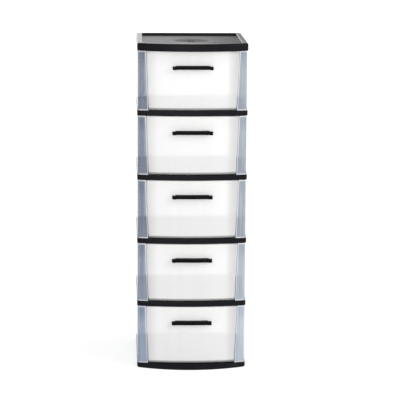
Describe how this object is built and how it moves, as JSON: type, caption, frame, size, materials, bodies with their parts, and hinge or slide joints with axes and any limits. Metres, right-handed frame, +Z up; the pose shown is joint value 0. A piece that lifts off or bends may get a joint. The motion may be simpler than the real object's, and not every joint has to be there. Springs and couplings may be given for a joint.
{
  "type": "plastic drawer tower",
  "caption": "Tall free-standing storage tower of clear pull-out drawers between black bowed shelves.",
  "frame": {"origin": "on the floor, under the middle of the tower, at the centre of the base's rest face", "axes": "+Z up, +X to the right as seen from the front, -Y towards the front, the way the drawers pull out"},
  "size_m": [0.32, 0.37, 0.9615],
  "materials": {
    "black_plastic": "satin black",
    "clear_plastic": "clear, faint blue-grey",
    "frosted_plastic": "frosted, see-through"
  },
  "bodies": {
    "frame": {"top_cover": "black_plastic", "base": "black_plastic", "divider_1": "black_plastic", "divider_2": "black_plastic", "divider_3": "black_plastic", "divider_4": "black_plastic", "left_side_1": "clear_plastic", "right_side_1": "clear_plastic", "back_panel_1": "clear_plastic", "left_side_2": "clear_plastic", "right_side_2": "clear_plastic", "back_panel_2": "clear_plastic", "left_side_3": "clear_plastic", "right_side_3": "clear_plastic", "back_panel_3": "clear_plastic", "left_side_4": "clear_plastic", "right_side_4": "clear_plastic", "back_panel_4": "clear_plastic", "left_side_5": "clear_plastic", "right_side_5": "clear_plastic", "back_panel_5": "clear_plastic"},
    "drawer_1_body": {"drawer_1": "frosted_plastic", "drawer_handle_1": "black_plastic"},
    "drawer_2_body": {"drawer_2": "frosted_plastic", "drawer_handle_2": "black_plastic"},
    "drawer_3_body": {"drawer_3": "frosted_plastic", "drawer_handle_3": "black_plastic"},
    "drawer_4_body": {"drawer_4": "frosted_plastic", "drawer_handle_4": "black_plastic"},
    "drawer_5_body": {"drawer_5": "frosted_plastic", "drawer_handle_5": "black_plastic"}
  },
  "joints": [
    {"name": "drawer_1_slide", "type": "slide", "parent": "frame", "child": "drawer_1_body", "axis": [0, -1, 0], "range_m": [0, 0.25]},
    {"name": "drawer_2_slide", "type": "slide", "parent": "frame", "child": "drawer_2_body", "axis": [0, -1, 0], "range_m": [0, 0.25]},
    {"name": "drawer_3_slide", "type": "slide", "parent": "frame", "child": "drawer_3_body", "axis": [0, -1, 0], "range_m": [0, 0.25]},
    {"name": "drawer_4_slide", "type": "slide", "parent": "frame", "child": "drawer_4_body", "axis": [0, -1, 0], "range_m": [0, 0.25]},
    {"name": "drawer_5_slide", "type": "slide", "parent": "frame", "child": "drawer_5_body", "axis": [0, -1, 0], "range_m": [0, 0.25]}
  ]
}
